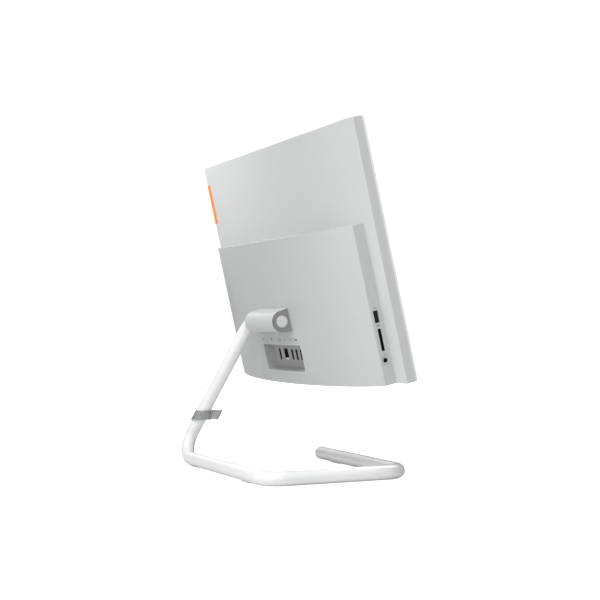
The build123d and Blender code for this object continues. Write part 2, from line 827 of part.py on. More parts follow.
with BuildPart() as network_socket:
    with BuildSketch(rear.offset(io_top)):
        with Locations((network_x, socket_v)):
            Rectangle(*network_body)
    extrude(amount=socket_depth)
    with BuildSketch(rear.offset(socket_mouth)):
        with Locations((network_x, socket_v - 0.4)):
            Rectangle(11.6, 7.6)
        with Locations((network_x, socket_v + 4.6)):
            Rectangle(6.2, 3)
        with Locations((network_x, socket_v + 6.4)):
            Rectangle(8.6, 1.4)
    extrude(amount=-12, mode=Mode.SUBTRACT)
    with BuildSketch(rear.offset(socket_mouth)):
        with Locations((network_x, socket_v - 6.2)):
            Rectangle(9, 2.6)
    extrude(amount=-3, mode=Mode.SUBTRACT)
finish(network_socket, "network_socket")

with BuildPart() as network_light:
    with BuildSketch(rear.offset(socket_mouth - 3)):
        with Locations((network_x, socket_v - 6.2)):
            Rectangle(9, 2.6)
    extrude(amount=3.2)
finish(network_light, "network_light")

with BuildPart() as power_inlet:
    with BuildSketch(rear.offset(io_top)):
        with Locations((power_in_x, socket_v)):
            Rectangle(10, 12)
    extrude(amount=11)
    with BuildSketch(rear.offset(io_top)):
        with Locations((power_in_x, socket_v)):
            Circle(4.3)
    extrude(amount=socket_depth)
    with BuildSketch(rear.offset(socket_mouth)):
        with Locations((power_in_x, socket_v)):
            Circle(2.75)
            Circle(0.9, mode=Mode.SUBTRACT)
    extrude(amount=-9.5, mode=Mode.SUBTRACT)
finish(power_inlet, "power_inlet")

with BuildPart() as rear_io_board:
    with BuildSketch(rear.offset(io_board_w)):
        with Locations((0, 37)):
            RectangleRounded(124, 48, 2)
        with Locations(*io_board_holes):
            Circle(screw_radius, mode=Mode.SUBTRACT)
    extrude(amount=board_thickness)
finish(rear_io_board, "rear_io_board")

# ---------------------------------------------------------------- side sockets

side_board_w = 2.7
side_board_top = side_board_w + board_thickness
wall_inside = half_cover - cover_wall

with BuildPart(rear) as side_io_board:
    with Locations((205, 57, side_board_w)):
        Box(20, 76, board_thickness, align=seated)
    with Locations((199, 22, chassis_thickness), (199, 92, chassis_thickness)):
        Cylinder(2.5, side_board_w - chassis_thickness, align=seated)
finish(side_io_board, "side_io_board")

with BuildPart(side) as side_usb_socket:
    with Locations((side_w, side_usb_v, -wall_inside + 7)):
        Box(*usb_shell, 14)
    with Locations((side_w, side_usb_v, -wall_inside + 5.5)):
        Box(*usb_mouth, 11, mode=Mode.SUBTRACT)
    with Locations((side_w - 1.2, side_usb_v, -wall_inside + 6.5)):
        Box(1.8, 11, 11)
finish(side_usb_socket, "side_usb_socket")

with BuildPart(side) as card_socket:
    with Locations((side_board_top + 2.4, card_v, -wall_inside + 13)):
        Box(4.8, 29, 26)
    # the nose fills the slot in the side wall
    with Locations((side_w, card_v, -half_cover + 0.1)):
        Box(*card_nose, cover_wall + 0.4, align=seated)
    with Locations((side_w, card_v, -half_cover + 11)):
        Box(*card_mouth, 22, mode=Mode.SUBTRACT)
finish(card_socket, "card_socket")

with BuildPart(side) as headset_jack:
    with Locations((side_board_top + 2.95, jack_v, -wall_inside + 7.5)):
        Box(5.9, 7, 15)
    with Locations((side_w, jack_v, -half_cover + 0.2)):
        Cylinder(2.8, 4, align=seated)
    with Locations((side_w, jack_v, -half_cover + 0.2)):
        Cylinder(jack_bore, 14, align=seated, mode=Mode.SUBTRACT)
finish(headset_jack, "headset_jack")
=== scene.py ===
import math

import bpy
from mathutils import Matrix, Vector


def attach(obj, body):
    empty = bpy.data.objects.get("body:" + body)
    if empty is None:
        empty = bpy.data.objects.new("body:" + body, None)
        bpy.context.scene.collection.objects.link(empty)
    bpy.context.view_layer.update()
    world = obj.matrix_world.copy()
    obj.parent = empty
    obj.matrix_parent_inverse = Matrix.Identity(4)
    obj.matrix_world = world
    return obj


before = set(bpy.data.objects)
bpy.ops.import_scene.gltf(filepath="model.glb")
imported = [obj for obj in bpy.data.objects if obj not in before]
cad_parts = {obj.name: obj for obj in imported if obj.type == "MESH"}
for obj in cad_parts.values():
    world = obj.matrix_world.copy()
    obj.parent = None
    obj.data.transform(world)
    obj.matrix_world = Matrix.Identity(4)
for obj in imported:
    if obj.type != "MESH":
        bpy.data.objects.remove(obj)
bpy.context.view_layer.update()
print("frame loaded", len(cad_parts), "nodes")

scene = bpy.context.scene
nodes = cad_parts

# the slab leans back on the hinge; places on its back are right (seen from behind), up and out
panelSettings = {"tilt": math.radians(13.0), "originY": -0.03858, "originZ": 0.12284}
tiltSine = math.sin(panelSettings["tilt"])
tiltCosine = math.cos(panelSettings["tilt"])


def onPanel(right, up, out):
    return Vector((-right,
                   panelSettings["originY"] + up * tiltSine + out * tiltCosine,
                   panelSettings["originZ"] + up * tiltCosine - out * tiltSine))


# small helpers for building node trees

def addNode(tree, kind, **settings):
    node = tree.nodes.new(kind)
    for key, value in settings.items():
        setattr(node, key, value)
    return node


def feed(tree, socket, source):
    # the source is another node's output or a plain value
    if isinstance(source, bpy.types.NodeSocket):
        tree.links.new(source, socket)
    else:
        socket.default_value = source


def calculate(tree, operation, *sources, clamp=False):
    node = addNode(tree, "ShaderNodeMath", operation=operation, use_clamp=clamp)
    for socket, source in zip(node.inputs, sources):
        feed(tree, socket, source)
    return node.outputs[0]


colourMixSockets = {"factor": 0, "first": 6, "second": 7, "result": 2}  # of a Mix node set to colours


def mixColours(tree, factor, first, second, blend="MIX"):
    node = addNode(tree, "ShaderNodeMix", data_type="RGBA", blend_type=blend)
    feed(tree, node.inputs[colourMixSockets["factor"]], factor)
    feed(tree, node.inputs[colourMixSockets["first"]], first)
    feed(tree, node.inputs[colourMixSockets["second"]], second)
    return node.outputs[colourMixSockets["result"]]


def addNoise(tree, vector, scale, detail):
    node = addNode(tree, "ShaderNodeTexNoise")
    feed(tree, node.inputs["Vector"], vector)
    feed(tree, node.inputs["Scale"], scale)
    feed(tree, node.inputs["Detail"], detail)
    return node.outputs["Fac"]


def addRamp(tree, value, start, end):
    node = addNode(tree, "ShaderNodeMapRange")
    feed(tree, node.inputs["Value"], value)
    feed(tree, node.inputs["From Min"], start)
    feed(tree, node.inputs["From Max"], end)
    return node.outputs[0]


def addBump(tree, shader, height, strength, depth):
    node = addNode(tree, "ShaderNodeBump")
    feed(tree, node.inputs["Strength"], strength)
    feed(tree, node.inputs["Distance"], depth)
    feed(tree, node.inputs["Height"], height)
    feed(tree, shader.inputs["Normal"], node.outputs[0])


# shader groups that the finishes share

def newGroup(name, inputs, outputs):
    group = bpy.data.node_groups.new(name, "ShaderNodeTree")
    for socketName, socketType, default in inputs:
        socket = group.interface.new_socket(name=socketName, in_out="INPUT", socket_type=socketType)
        if default is not None:
            socket.default_value = default
    for socketName, socketType in outputs:
        group.interface.new_socket(name=socketName, in_out="OUTPUT", socket_type=socketType)
    start = group.nodes.new("NodeGroupInput")
    end = group.nodes.new("NodeGroupOutput")
    return group, start.outputs, end.inputs


grainSettings = {"slowScale": 9.0, "slowDetail": 4.0, "fineDetail": 3.0, "noiseMiddle": 0.5, "roughDrift": 0.12}


def makeGrainGroup():
    # fine moulded grain: slight drift of tone and roughness, and a height for the bump
    group, start, end = newGroup(
        "mouldedGrain",
        [("Vector", "NodeSocketVector", None),
         ("Colour", "NodeSocketColor", (0.8, 0.8, 0.8, 1)),
         ("Drift", "NodeSocketFloat", 0.03),
         ("Roughness", "NodeSocketFloat", 0.4),
         ("Grain Scale", "NodeSocketFloat", 1500.0)],
        [("Colour", "NodeSocketColor"), ("Roughness", "NodeSocketFloat"), ("Height", "NodeSocketFloat")])
    slow = addNoise(group, start["Vector"], grainSettings["slowScale"], grainSettings["slowDetail"])
    fine = addNoise(group, start["Vector"], start["Grain Scale"], grainSettings["fineDetail"])
    centred = calculate(group, "SUBTRACT", slow, grainSettings["noiseMiddle"])
    tone = addNode(group, "ShaderNodeVectorMath", operation="SCALE")
    feed(group, tone.inputs[0], start["Colour"])
    feed(group, tone.inputs["Scale"], calculate(group, "MULTIPLY_ADD", centred, start["Drift"], 1.0))
    feed(group, end["Colour"], tone.outputs[0])
    feed(group, end["Roughness"],
         calculate(group, "MULTIPLY_ADD", centred, grainSettings["roughDrift"], start["Roughness"]))
    feed(group, end["Height"], fine)
    return group


dustSettings = {"slopeFrom": 0.35, "slopeTo": 1.0, "patchScale": 60.0, "patchDetail": 6.0,
                "colour": (0.62, 0.6, 0.57, 1)}


def makeDustGroup():
    # a little dust on faces that look up, broken up by noise
    group, start, end = newGroup(
        "restingDust",
        [("Vector", "NodeSocketVector", None),
         ("Colour", "NodeSocketColor", (0.8, 0.8, 0.8, 1)),
         ("Amount", "NodeSocketFloat", 0.1)],
        [("Colour", "NodeSocketColor"), ("Mask", "NodeSocketFloat")])
    geometry = addNode(group, "ShaderNodeNewGeometry")
    split = addNode(group, "ShaderNodeSeparateXYZ")
    feed(group, split.inputs[0], geometry.outputs["Normal"])
    upward = addRamp(group, split.outputs["Z"], dustSettings["slopeFrom"], dustSettings["slopeTo"])
    patches = addNoise(group, start["Vector"], dustSettings["patchScale"], dustSettings["patchDetail"])
    mask = calculate(group, "MULTIPLY", calculate(group, "MULTIPLY", upward, patches), start["Amount"])
    feed(group, end["Colour"], mixColours(group, mask, start["Colour"], dustSettings["colour"]))
    feed(group, end["Mask"], mask)
    return group


wearSettings = {"edgeFrom": 0.5, "edgeTo": 0.62, "patchScale": 140.0, "patchDetail": 5.0}


def makeEdgeWearGroup():
    # a lighter tone along convex edges, broken up by noise
    group, start, end = newGroup(
        "edgeWear",
        [("Vector", "NodeSocketVector", None),
         ("Colour", "NodeSocketColor", (0.8, 0.8, 0.8, 1)),
         ("Worn Colour", "NodeSocketColor", (0.9, 0.9, 0.9, 1)),
         ("Amount", "NodeSocketFloat", 0.3)],
        [("Colour", "NodeSocketColor"), ("Mask", "NodeSocketFloat")])
    geometry = addNode(group, "ShaderNodeNewGeometry")
    convex = addRamp(group, geometry.outputs["Pointiness"], wearSettings["edgeFrom"], wearSettings["edgeTo"])
    patches = addNoise(group, start["Vector"], wearSettings["patchScale"], wearSettings["patchDetail"])
    both = calculate(group, "MULTIPLY", convex, patches)
    mask = calculate(group, "MULTIPLY", both, start["Amount"], clamp=True)
    feed(group, end["Colour"], mixColours(group, mask, start["Colour"], start["Worn Colour"]))
    feed(group, end["Mask"], mask)
    return group


grainGroup = makeGrainGroup()
dustGroup = makeDustGroup()
wearGroup = makeEdgeWearGroup()
print("shader groups ready")


# the two kinds of surface

def newMaterial(name):
    material = bpy.data.materials.new(name)
    material.use_nodes = True
    tree = material.node_tree
    tree.nodes.clear()
    output = tree.nodes.new("ShaderNodeOutputMaterial")
    shader = tree.nodes.new("ShaderNodeBsdfPrincipled")
    tree.links.new(shader.outputs[0], output.inputs[0])
    coords = tree.nodes.new("ShaderNodeTexCoord").outputs["Object"]
    return material, tree, shader, coords


def placeGroup(tree, group, vector, **values):
    node = tree.nodes.new("ShaderNodeGroup")
    node.node_tree = group
    feed(tree, node.inputs["Vector"], vector)
    for key, value in values.items():
        feed(tree, node.inputs[key.replace("_", " ")], value)
    return node


def lighten(colour, factor):
    return (*[min(1, part * factor) for part in colour], 1)


plasticSettings = {"wornLighter": 1.15, "dustRoughness": 0.5, "bumpDepth": 0.0005, "coatRoughness": 0.15}


def plasticFinish(name, colour, roughness=0.4, drift=0.03, grain=1500.0, bump=0.02, dust=0.1,
                  coat=0.0, specular=0.5, wear=0.15):
    material, tree, shader, coords = newMaterial(name)
    moulded = placeGroup(tree, grainGroup, coords, Colour=(*colour, 1), Drift=drift,
                         Roughness=roughness, Grain_Scale=grain)
    worn = placeGroup(tree, wearGroup, coords, Colour=moulded.outputs["Colour"],
                      Worn_Colour=lighten(colour, plasticSettings["wornLighter"]), Amount=wear)
    dusty = placeGroup(tree, dustGroup, coords, Colour=worn.outputs["Colour"], Amount=dust)
    feed(tree, shader.inputs["Base Color"], dusty.outputs["Colour"])
    feed(tree, shader.inputs["Roughness"],
         calculate(tree, "MULTIPLY_ADD", dusty.outputs["Mask"], plasticSettings["dustRoughness"],
                   moulded.outputs["Roughness"], clamp=True))
    addBump(tree, shader, moulded.outputs["Height"], bump, plasticSettings["bumpDepth"])
    shader.inputs["Specular IOR Level"].default_value = specular
    shader.inputs["Coat Weight"].default_value = coat
    shader.inputs["Coat Roughness"].default_value = plasticSettings["coatRoughness"]
    return material, tree, shader, coords


metalSettings = {"wornLighter": 1.2, "bumpDepth": 0.0003}


def metalFinish(name, colour, roughness=0.3, stretch=(1, 1, 1), scale=400.0, drift=0.08, bump=0.03, wear=0.2):
    material, tree, shader, coords = newMaterial(name)
    mapping = addNode(tree, "ShaderNodeMapping")
    mapping.inputs["Scale"].default_value = stretch
    feed(tree, mapping.inputs["Vector"], coords)
    brushed = placeGroup(tree, grainGroup, mapping.outputs[0], Colour=(*colour, 1), Drift=drift,
                         Roughness=roughness, Grain_Scale=scale)
    worn = placeGroup(tree, wearGroup, coords, Colour=brushed.outputs["Colour"],
                      Worn_Colour=lighten(colour, metalSettings["wornLighter"]), Amount=wear)
    feed(tree, shader.inputs["Base Color"], worn.outputs["Colour"])
    feed(tree, shader.inputs["Roughness"], brushed.outputs["Roughness"])
    shader.inputs["Metallic"].default_value = 1.0
    addBump(tree, shader, brushed.outputs["Height"], bump, metalSettings["bumpDepth"])
    return material


# finishes of plain plastic and metal

plastics = {
    "shellWhite": {"colour": (0.575, 0.585, 0.585), "roughness": 0.38, "drift": 0.02, "grain": 2200, "bump": 0.015},
    "bezelWhite": {"colour": (0.80, 0.81, 0.81), "roughness": 0.18, "drift": 0.015, "grain": 2600,
                   "bump": 0.008, "coat": 0.3},
    "coverGrey": {"colour": (0.505, 0.52, 0.52), "roughness": 0.42, "drift": 0.025, "grain": 2000, "bump": 0.02},
    # the port pocket takes a grey darker than the cover's: painted shade of the recess
    "recessGreyPaintedShade": {"colour": (0.41, 0.415, 0.415), "roughness": 0.6, "drift": 0.05, "grain": 1400, "bump": 0.06},
    "plugWhite": {"colour": (0.62, 0.625, 0.625), "roughness": 0.4, "drift": 0.03, "grain": 1800, "bump": 0.03},
    "tubeWhite": {"colour": (0.86, 0.865, 0.865), "roughness": 0.3, "drift": 0.02, "grain": 900,
                  "bump": 0.03, "coat": 0.25, "wear": 0.05},
    "blackPlastic": {"colour": (0.012, 0.012, 0.013), "roughness": 0.45, "drift": 0.2, "grain": 1500, "bump": 0.05},
    "rubberPale": {"colour": (0.62, 0.62, 0.61), "roughness": 0.8, "drift": 0.15, "grain": 900,
                   "bump": 0.12, "dust": 0.4},
    "orangeTab": {"colour": (0.85, 0.22, 0.035), "roughness": 0.55, "drift": 0.15, "grain": 1300,
                  "bump": 0.12, "wear": 0.3},
    "lightWhite": {"colour": (0.9, 0.9, 0.87), "roughness": 0.3, "drift": 0.02, "grain": 1500, "bump": 0.01},
    "lensGlass": {"colour": (0.004, 0.005, 0.012), "roughness": 0.06, "drift": 0.3, "grain": 3000,
                  "bump": 0.0, "coat": 1.0, "dust": 0.0},
    "markInk": {"colour": (0.17, 0.175, 0.18), "roughness": 0.55, "drift": 0.25, "grain": 2400,
                "bump": 0.06, "dust": 0.0, "wear": 0.1},
    "lipGrey": {"colour": (0.60, 0.61, 0.61), "roughness": 0.35, "drift": 0.03, "grain": 2000, "bump": 0.02},
}

metals = {
    "zincSteel": {"colour": (0.55, 0.56, 0.57), "roughness": 0.42, "scale": 260, "drift": 0.2},
    "brightSteel": {"colour": (0.7, 0.7, 0.71), "roughness": 0.25, "scale": 600},
    "finAluminium": {"colour": (0.8, 0.81, 0.82), "roughness": 0.35, "stretch": (1, 1, 8), "scale": 300},
    "copperPipe": {"colour": (0.85, 0.42, 0.26), "roughness": 0.28, "scale": 350, "drift": 0.2},
    "bronzeBush": {"colour": (0.6, 0.42, 0.2), "roughness": 0.5, "scale": 900, "bump": 0.2},
}

finishes = {name: plasticFinish(name, **values)[0] for name, values in plastics.items()}
finishes.update({name: metalFinish(name, **values) for name, values in metals.items()})


def paintOver(tree, shader, mask, colour):
    # puts another colour over the surface's own where the mask is on
    below = shader.inputs["Base Color"].links[0].from_socket
    feed(tree, shader.inputs["Base Color"], mixColours(tree, mask, below, (*colour, 1)))


barrelSettings = {"colour": (0.56, 0.57, 0.57), "roughness": 0.36, "drift": 0.02, "grain": 2000, "bump": 0.015}
barrelEnds = {"colour": (0.235, 0.235, 0.235), "from": 0.0462}  # from the middle of the barrel


def makeBarrelFinish():
    # the moulded barrel has darker grey end faces
    material, tree, shader, coords = plasticFinish("barrelGrey", **barrelSettings)
    split = addNode(tree, "ShaderNodeSeparateXYZ")
    feed(tree, split.inputs[0], coords)
    fromMiddle = calculate(tree, "ABSOLUTE", split.outputs["X"])
    atEnd = calculate(tree, "GREATER_THAN", fromMiddle, barrelEnds["from"])
    paintOver(tree, shader, atEnd, barrelEnds["colour"])
    return material


boardSettings = {"colour": (0.008, 0.07, 0.03), "roughness": 0.32, "drift": 0.2, "grain": 700, "bump": 0.05}
trackSettings = {"colour": (0.06, 0.2, 0.09), "scale": 160.0, "width": 0.03, "offset": 0.35, "squash": 0.7,
                 "between": (0, 0, 0, 1), "pad": (0.15, 0.15, 0.15, 1), "track": (1, 1, 1, 1), "strength": 0.45}


def makeBoardFinish():
    # solder mask with faint copper tracks and pads under it
    material, tree, shader, coords = plasticFinish("circuitBoard", **boardSettings)
    turn = addNode(tree, "ShaderNodeMapping")
    turn.inputs["Rotation"].default_value = (math.pi / 2 - panelSettings["tilt"], 0, 0)
    feed(tree, turn.inputs["Vector"], coords)
    tracks = addNode(tree, "ShaderNodeTexBrick", offset=trackSettings["offset"], squash=trackSettings["squash"])
    tracks.inputs["Scale"].default_value = trackSettings["scale"]
    tracks.inputs["Mortar Size"].default_value = trackSettings["width"]
    tracks.inputs["Color1"].default_value = trackSettings["between"]
    tracks.inputs["Color2"].default_value = trackSettings["pad"]
    tracks.inputs["Mortar"].default_value = trackSettings["track"]
    feed(tree, tracks.inputs["Vector"], turn.outputs[0])
    weight = calculate(tree, "MULTIPLY", tracks.outputs["Color"], trackSettings["strength"])
    paintOver(tree, shader, weight, trackSettings["colour"])
    return material


clipFinish = {"colour": (0.74, 0.75, 0.755), "roughness": 0.14, "drift": 0.1, "grain": 500.0,
              "clear": 0.72, "refraction": 1.49, "coat": 0.6, "coatRoughness": 0.08,
              "streakScale": 90.0, "streakBend": 6.0, "streakDetail": 3.0, "streakStrength": 0.12,
              "bump": 0.03, "bumpDepth": 0.0004}


def makeClearPlastic():
    # smoky see-through plastic with flow streaks along the moulding
    material, tree, shader, coords = newMaterial("smokyPlastic")
    moulded = placeGroup(tree, grainGroup, coords, Colour=(*clipFinish["colour"], 1), Drift=clipFinish["drift"],
                         Roughness=clipFinish["roughness"], Grain_Scale=clipFinish["grain"])
    streaks = addNode(tree, "ShaderNodeTexWave", wave_type="BANDS", bands_direction="Z")
    streaks.inputs["Scale"].default_value = clipFinish["streakScale"]
    streaks.inputs["Distortion"].default_value = clipFinish["streakBend"]
    streaks.inputs["Detail"].default_value = clipFinish["streakDetail"]
    feed(tree, streaks.inputs["Vector"], coords)
    feed(tree, shader.inputs["Base Color"],
         mixColours(tree, clipFinish["streakStrength"], moulded.outputs["Colour"], streaks.outputs["Color"],
                    blend="MULTIPLY"))
    feed(tree, shader.inputs["Roughness"], moulded.outputs["Roughness"])
    shader.inputs["Transmission Weight"].default_value = clipFinish["clear"]
    shader.inputs["IOR"].default_value = clipFinish["refraction"]
    shader.inputs["Coat Weight"].default_value = clipFinish["coat"]
    shader.inputs["Coat Roughness"].default_value = clipFinish["coatRoughness"]
    addBump(tree, shader, moulded.outputs["Height"], clipFinish["bump"], clipFinish["bumpDepth"])
    return material


screenFinish = {"colour": (0.011, 0.012, 0.014), "drift": 0.3, "roughness": 0.14, "grain": 4000.0, "dust": 0.05,
                "border": (0.0015, 0.0015, 0.0018), "halfWidth": 0.2358, "middleUp": 0.16425, "halfHeight": 0.1317,
                "coat": 0.5, "coatRoughness": 0.05, "bump": 0.01, "bumpDepth": 0.0002}


def makeScreenGlass():
    # dark panel behind glass, with a black printed border round the picture area
    material, tree, shader, coords = newMaterial("screenGlass")
    panel = placeGroup(tree, grainGroup, coords, Colour=(*screenFinish["colour"], 1), Drift=screenFinish["drift"],
                       Roughness=screenFinish["roughness"], Grain_Scale=screenFinish["grain"])
    flat = addNode(tree, "ShaderNodeMapping", vector_type="TEXTURE")
    flat.inputs["Location"].default_value = (0, panelSettings["originY"], panelSettings["originZ"])
    flat.inputs["Rotation"].default_value = (-panelSettings["tilt"], 0, 0)
    feed(tree, flat.inputs["Vector"], coords)
    split = addNode(tree, "ShaderNodeSeparateXYZ")
    feed(tree, split.inputs[0], flat.outputs[0])
    across = calculate(tree, "ABSOLUTE", split.outputs["X"])
    beyondSide = calculate(tree, "GREATER_THAN", across, screenFinish["halfWidth"])
    upDown = calculate(tree, "ABSOLUTE", calculate(tree, "SUBTRACT", split.outputs["Z"], screenFinish["middleUp"]))
    beyondTop = calculate(tree, "GREATER_THAN", upDown, screenFinish["halfHeight"])
    onBorder = calculate(tree, "MAXIMUM", beyondSide, beyondTop)
    printed = mixColours(tree, onBorder, panel.outputs["Colour"], (*screenFinish["border"], 1))
    dusty = placeGroup(tree, dustGroup, coords, Colour=printed, Amount=screenFinish["dust"])
    feed(tree, shader.inputs["Base Color"], dusty.outputs["Colour"])
    feed(tree, shader.inputs["Roughness"], panel.outputs["Roughness"])
    shader.inputs["Coat Weight"].default_value = screenFinish["coat"]
    shader.inputs["Coat Roughness"].default_value = screenFinish["coatRoughness"]
    addBump(tree, shader, panel.outputs["Height"], screenFinish["bump"], screenFinish["bumpDepth"])
    return material


finishes["barrelGrey"] = makeBarrelFinish()
finishes["circuitBoard"] = makeBoardFinish()
finishes["smokyPlastic"] = makeClearPlastic()
finishes["screenGlass"] = makeScreenGlass()

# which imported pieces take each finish
finishNodes = {
    "shellWhite": ["rear_shell"],
    "bezelWhite": ["front_bezel", "power_button"],
    "screenGlass": ["screen_glass"],
    "lensGlass": ["camera_lens"],
    "orangeTab": ["edge_tab"],
    "coverGrey": ["back_cover"],
    "recessGreyPaintedShade": ["port_recess"],
    # the pocket's darker grey is painted shade
    "barrelGrey": ["hinge_barrel"],
    "plugWhite": ["hinge_cap"],
    "tubeWhite": ["stand_tube", "tube_end_plug"],
    "rubberPale": ["rubber_feet"],
    "smokyPlastic": ["cable_clip"],
    "lightWhite": ["network_light"],
    "bronzeBush": ["friction_bushes"],
    "zincSteel": ["backlight_tray", "hinge_bracket", "chassis_plate", "fan_lid", "drive_tray"],
    "brightSteel": ["axle_collars", "standoffs", "board_screws", "bracket_screws", "coin_cell"],
    "copperPipe": ["heat_spreader", "heat_pipe"],
    "finAluminium": ["heat_fins", "hard_drive"],
    "circuitBoard": ["camera_board", "power_board", "mainboard", "processor", "memory_modules",
                     "solid_state_drive", "radio_card", "rear_io_board", "side_io_board"],
    "blackPlastic": ["memory_sockets", "fan_housing", "fan_rotor", "speakers", "hdmi_socket", "rear_usb_sockets",
                     "network_socket", "power_inlet", "side_usb_socket", "card_socket", "headset_jack"],
}

for finishName, nodeNames in finishNodes.items():
    for nodeName in nodeNames:
        piece = nodes[nodeName]
        piece.data.materials.clear()
        piece.data.materials.append(finishes[finishName])
print("finishes assigned", sum(len(nodeNames) for nodeNames in finishNodes.values()))


# printed marks and the lip of the port pocket

def panelFrame(place):
    # a flat piece drawn on the floor plane is stood on the back of the slab, facing out
    return Matrix(((-1, 0, 0, place.x),
                   (0, tiltSine, tiltCosine, place.y),
                   (0, tiltCosine, -tiltSine, place.z),
                   (0, 0, 0, 1)))


def sideFrame(place):
    # the same for the wall of the cover that faces -X
    return Matrix(((0, 0, -1, place.x),
                   (-tiltCosine, tiltSine, 0, place.y),
                   (tiltSine, tiltCosine, 0, place.z),
                   (0, 0, 0, 1)))


def selectOnly(piece):
    bpy.ops.object.select_all(action="DESELECT")
    piece.select_set(True)
    bpy.context.view_layer.objects.active = piece


def settle(piece, matrix, material):
    piece.matrix_world = matrix
    selectOnly(piece)
    bpy.ops.object.transform_apply(location=True, rotation=True, scale=True)
    piece.data.materials.append(material)
    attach(piece, "display")


def editAll(piece):
    selectOnly(piece)
    bpy.ops.object.mode_set(mode="EDIT")
    bpy.ops.mesh.select_all(action="SELECT")


mergeDistance = 0.000001


def leaveEdit():
    bpy.ops.mesh.select_all(action="SELECT")
    bpy.ops.mesh.remove_doubles(threshold=mergeDistance)
    bpy.ops.mesh.normals_make_consistent(inside=False)
    bpy.ops.object.mode_set(mode="OBJECT")


def cutToOutline(lineWidth):
    # keeps only a band of this width along the edge of the flat shape
    bpy.ops.mesh.inset(thickness=lineWidth, depth=0)
    bpy.ops.mesh.delete(type="FACE")
    bpy.ops.mesh.select_all(action="SELECT")


def softenEdges(piece, width, segments):
    bevel = piece.modifiers.new("softEdge", "BEVEL")
    bevel.width = width
    bevel.segments = segments
    bevel.limit_method = "ANGLE"
    bpy.ops.object.modifier_apply(modifier=bevel.name)


# a mark is a small raised print: corners, half width, half height, line width or 0 for solid, turn in degrees
markShapes = {
    "ring": (28, 0.0015, 0.0015, 0.00055, 0),
    "square": (4, 0.0018, 0.0018, 0.0, 45),
    "bar": (4, 0.0032, 0.0013, 0.0, 45),
    "frame": (4, 0.0034, 0.0018, 0.0007, 45),
    "arrow": (3, 0.0019, 0.0019, 0.0, 0),
    "disc": (28, 0.0013, 0.0013, 0.0, 0),
}
markSettings = {"height": 0.00034, "softEdge": 0.00006, "sideScale": 0.6, "slot": "black_plastic"}


def makeMark(name, shape):
    corners, halfWidth, halfHeight, lineWidth, turn = markShapes[shape]
    bpy.ops.object.select_all(action="DESELECT")
    bpy.ops.mesh.primitive_circle_add(vertices=corners, radius=1.0, fill_type="NGON", location=(0, 0, 0))
    mark = bpy.context.object
    mark.name = name
    grow = math.sqrt(2) if corners == 4 else 1.0  # a square's sides are nearer than its corners
    editAll(mark)
    bpy.ops.transform.rotate(value=math.radians(turn), orient_axis="Z", center_override=(0, 0, 0))
    bpy.ops.transform.resize(value=(halfWidth * grow, halfHeight * grow, 1), center_override=(0, 0, 0))
    if lineWidth:
        cutToOutline(lineWidth)
    bpy.ops.mesh.extrude_region_move(TRANSFORM_OT_translate={"value": (0, 0, markSettings["height"])})
    leaveEdit()
    softenEdges(mark, markSettings["softEdge"], 1)
    return mark


coverSettings = {"crown": 0.0404, "bowRadius": 1.0973, "halfWidth": 0.2185, "edgeMiddle": 0.0072}


def coverOut(right):
    # how far the bowed cover stands off the slab
    return coverSettings["crown"] - right * right / (2 * coverSettings["bowRadius"])


# right seen from behind, up, shape
rearMarks = [(-0.056, 0.0585, "ring"), (-0.025, 0.0585, "square"), (0.002, 0.0585, "frame"),
             (0.019, 0.0585, "arrow"), (0.035, 0.0585, "disc"), (0.051, 0.0585, "bar")]
for count, (right, up, shape) in enumerate(rearMarks, start=1):
    mark = makeMark(f"rearMark{count}", shape)
    place = onPanel(right, up, coverOut(right) - markSettings["height"] / 2)
    settle(mark, panelFrame(place), finishes["markInk"])

sideMarks = [(0.0903, "frame"), (0.0699, "bar"), (0.0369, "ring")]
for count, (up, shape) in enumerate(sideMarks, start=1):
    mark = makeMark(f"sideMark{count}", shape)
    place = onPanel(coverSettings["halfWidth"] - markSettings["height"] / 2, up, coverSettings["edgeMiddle"])
    settle(mark, sideFrame(place) @ Matrix.Scale(markSettings["sideScale"], 4),
           finishes["markInk"])
print("marks printed", len(rearMarks) + len(sideMarks))

lipSettings = {"width": 0.122, "bottom": 0.0155, "top": 0.0526, "corner": 0.004, "cornerSteps": 6,
               "band": 0.0009, "height": 0.0005, "cuts": 5, "softEdge": 0.00018, "edgeSteps": 3,
               "slot": "recess_grey"}


def makePocketLip():
    # a thin rounded lip round the mouth of the port pocket, following the bow of the cover
    tall = lipSettings["top"] - lipSettings["bottom"]
    middle = (lipSettings["top"] + lipSettings["bottom"]) / 2
    bpy.ops.object.select_all(action="DESELECT")
    bpy.ops.mesh.primitive_plane_add(size=1.0, location=(0, 0, 0))
    lip = bpy.context.object
    lip.name = "pocketLip"
    editAll(lip)
    bpy.ops.transform.resize(value=(lipSettings["width"], tall, 1), center_override=(0, 0, 0))
    bpy.ops.mesh.bevel(offset=lipSettings["corner"], segments=lipSettings["cornerSteps"], affect="VERTICES")
    cutToOutline(lipSettings["band"])
    bpy.ops.mesh.subdivide(number_cuts=lipSettings["cuts"])
    bpy.ops.mesh.extrude_region_move(TRANSFORM_OT_translate={"value": (0, 0, lipSettings["height"])})
    leaveEdit()
    for vertex in lip.data.vertices:
        vertex.co.z += coverOut(vertex.co.x) - coverSettings["crown"] - lipSettings["height"] / 2
    softenEdges(lip, lipSettings["softEdge"], lipSettings["edgeSteps"])
    settle(lip, panelFrame(onPanel(0, middle, coverSettings["crown"])), finishes["lipGrey"])


makePocketLip()
print("pocket lip made")

# floor, backdrop, lights and camera

floorSettings = {"size": 14.0, "cameraGlow": 1.02}
floorFinish = {"colour": (0.72, 0.72, 0.72), "roughness": 0.9, "drift": 0.01, "grain": 200, "bump": 0.0,
               "dust": 0.0, "wear": 0.0, "specular": 0.1}
pureWhite = (1, 1, 1, 1)


